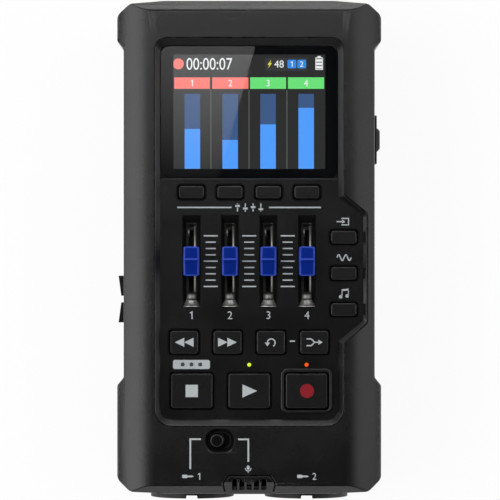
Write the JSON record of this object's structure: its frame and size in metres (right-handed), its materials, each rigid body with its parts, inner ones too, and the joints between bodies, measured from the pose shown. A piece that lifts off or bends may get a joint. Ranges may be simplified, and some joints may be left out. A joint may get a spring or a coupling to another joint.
{
  "type": "multitrack recorder",
  "caption": "Handheld multitrack audio recorder with a colour display, slide faders, transport keys, combination input sockets and a hinged battery door on its back.",
  "frame": {"origin": "centre of the resting face on the back, under the middle of the overall box", "axes": "+X to the right across the case, +Y towards the display end, +Z out of the control panel"},
  "size_m": [0.0782, 0.1482, 0.048],
  "materials": {
    "case_plastic": "fine-textured moulded plastic",
    "panel_plastic": "satin moulded plastic",
    "window_glass": "polished, hard-coated",
    "display": "display panel",
    "board": "solder mask",
    "moulding_black": "moulded plastic",
    "moulding_pale": "moulded plastic",
    "sheet_metal": "pressed, nickel plated",
    "cap_blue": "satin moulded plastic",
    "key_rubber": "satin moulded rubber",
    "light_green": "clear light pipe",
    "light_red": "clear light pipe",
    "contact_brass": "plain",
    "spring_steel": "nickel plated",
    "screw_steel": "black zinc",
    "cell_can": "plain sleeve"
  },
  "bodies": {
    "case": {"front_shell": "case_plastic", "rear_shell": "case_plastic", "control_panel": "panel_plastic", "display_window": "window_glass", "display_module": "display", "display_bracket": "moulding_pale", "front_board": "board", "main_board": "board", "board_connector": "moulding_black", "fader_housings": "sheet_metal", "key_switches": "moulding_pale", "flank_switches": "moulding_pale", "play_light": "light_green", "record_light": "light_red", "selector_switch": "moulding_pale", "mic_grille": "panel_plastic", "mic_capsule": "sheet_metal", "power_plate": "panel_plastic", "power_switch": "moulding_pale", "input_socket_a": "moulding_black", "input_socket_b": "moulding_black", "socket_contacts": "contact_brass", "phones_socket": "moulding_black", "usb_socket": "sheet_metal", "card_slot": "sheet_metal", "battery_cells": "cell_can", "cell_springs": "spring_steel", "cell_contacts": "spring_steel", "case_screws": "screw_steel", "board_screws": "spring_steel"},
    "fader_1": {"fader_cap_1": "cap_blue", "fader_lever_1": "sheet_metal"},
    "fader_2": {"fader_cap_2": "cap_blue", "fader_lever_2": "sheet_metal"},
    "fader_3": {"fader_cap_3": "cap_blue", "fader_lever_3": "sheet_metal"},
    "fader_4": {"fader_cap_4": "cap_blue", "fader_lever_4": "sheet_metal"},
    "soft_key_1": {"soft_key_1": "key_rubber"},
    "soft_key_2": {"soft_key_2": "key_rubber"},
    "soft_key_3": {"soft_key_3": "key_rubber"},
    "soft_key_4": {"soft_key_4": "key_rubber"},
    "side_key_1": {"side_key_1": "key_rubber"},
    "side_key_2": {"side_key_2": "key_rubber"},
    "side_key_3": {"side_key_3": "key_rubber"},
    "rewind_key": {"rewind_key": "key_rubber"},
    "forward_key": {"forward_key": "key_rubber"},
    "undo_key": {"undo_key": "key_rubber"},
    "bounce_key": {"bounce_key": "key_rubber"},
    "stop_key": {"stop_key": "key_rubber"},
    "play_key": {"play_key": "key_rubber"},
    "record_key": {"record_key": "key_rubber"},
    "volume_up_key": {"volume_up_key": "key_rubber"},
    "volume_down_key": {"volume_down_key": "key_rubber"},
    "input_selector": {"input_selector": "moulding_black"},
    "power_slider": {"power_slider": "moulding_black"},
    "battery_door": {"battery_door": "case_plastic"}
  },
  "joints": [
    {"name": "fader_1_slide", "type": "slide", "parent": "case", "child": "fader_1", "axis": [0, 1, 0], "range_m": [-0.0075, 0.0075]},
    {"name": "fader_2_slide", "type": "slide", "parent": "case", "child": "fader_2", "axis": [0, 1, 0], "range_m": [-0.0075, 0.0075]},
    {"name": "fader_3_slide", "type": "slide", "parent": "case", "child": "fader_3", "axis": [0, 1, 0], "range_m": [-0.0075, 0.0075]},
    {"name": "fader_4_slide", "type": "slide", "parent": "case", "child": "fader_4", "axis": [0, 1, 0], "range_m": [-0.0075, 0.0075]},
    {"name": "soft_key_1_press", "type": "slide", "parent": "case", "child": "soft_key_1", "axis": [0, 0, -1], "range_m": [0, 0.0006], "stiffness_N_per_m": 800},
    {"name": "soft_key_2_press", "type": "slide", "parent": "case", "child": "soft_key_2", "axis": [0, 0, -1], "range_m": [0, 0.0006], "stiffness_N_per_m": 800},
    {"name": "soft_key_3_press", "type": "slide", "parent": "case", "child": "soft_key_3", "axis": [0, 0, -1], "range_m": [0, 0.0006], "stiffness_N_per_m": 800},
    {"name": "soft_key_4_press", "type": "slide", "parent": "case", "child": "soft_key_4", "axis": [0, 0, -1], "range_m": [0, 0.0006], "stiffness_N_per_m": 800},
    {"name": "side_key_1_press", "type": "slide", "parent": "case", "child": "side_key_1", "axis": [0, 0, -1], "range_m": [0, 0.0006], "stiffness_N_per_m": 800},
    {"name": "side_key_2_press", "type": "slide", "parent": "case", "child": "side_key_2", "axis": [0, 0, -1], "range_m": [0, 0.0006], "stiffness_N_per_m": 800},
    {"name": "side_key_3_press", "type": "slide", "parent": "case", "child": "side_key_3", "axis": [0, 0, -1], "range_m": [0, 0.0006], "stiffness_N_per_m": 800},
    {"name": "rewind_key_press", "type": "slide", "parent": "case", "child": "rewind_key", "axis": [0, 0, -1], "range_m": [0, 0.0006], "stiffness_N_per_m": 800},
    {"name": "forward_key_press", "type": "slide", "parent": "case", "child": "forward_key", "axis": [0, 0, -1], "range_m": [0, 0.0006], "stiffness_N_per_m": 800},
    {"name": "undo_key_press", "type": "slide", "parent": "case", "child": "undo_key", "axis": [0, 0, -1], "range_m": [0, 0.0006], "stiffness_N_per_m": 800},
    {"name": "bounce_key_press", "type": "slide", "parent": "case", "child": "bounce_key", "axis": [0, 0, -1], "range_m": [0, 0.0006], "stiffness_N_per_m": 800},
    {"name": "stop_key_press", "type": "slide", "parent": "case", "child": "stop_key", "axis": [0, 0, -1], "range_m": [0, 0.0006], "stiffness_N_per_m": 800},
    {"name": "play_key_press", "type": "slide", "parent": "case", "child": "play_key", "axis": [0, 0, -1], "range_m": [0, 0.0006], "stiffness_N_per_m": 800},
    {"name": "record_key_press", "type": "slide", "parent": "case", "child": "record_key", "axis": [0, 0, -1], "range_m": [0, 0.0006], "stiffness_N_per_m": 800},
    {"name": "volume_up_key_press", "type": "slide", "parent": "case", "child": "volume_up_key", "axis": [1, 0, 0], "range_m": [0, 0.0006], "stiffness_N_per_m": 800},
    {"name": "volume_down_key_press", "type": "slide", "parent": "case", "child": "volume_down_key", "axis": [1, 0, 0], "range_m": [0, 0.0006], "stiffness_N_per_m": 800},
    {"name": "selector_slide", "type": "slide", "parent": "case", "child": "input_selector", "axis": [1, 0, 0], "range_m": [0, 0.0018]},
    {"name": "power_slide", "type": "slide", "parent": "case", "child": "power_slider", "axis": [0, 1, 0], "range_m": [-0.0025, 0.0025], "stiffness_N_per_m": 300},
    {"name": "battery_door_hinge", "type": "hinge", "parent": "case", "child": "battery_door", "pos_m": [0, 0.02505, 0.0017], "axis": [1, 0, 0], "range_deg": [0, 95]}
  ]
}
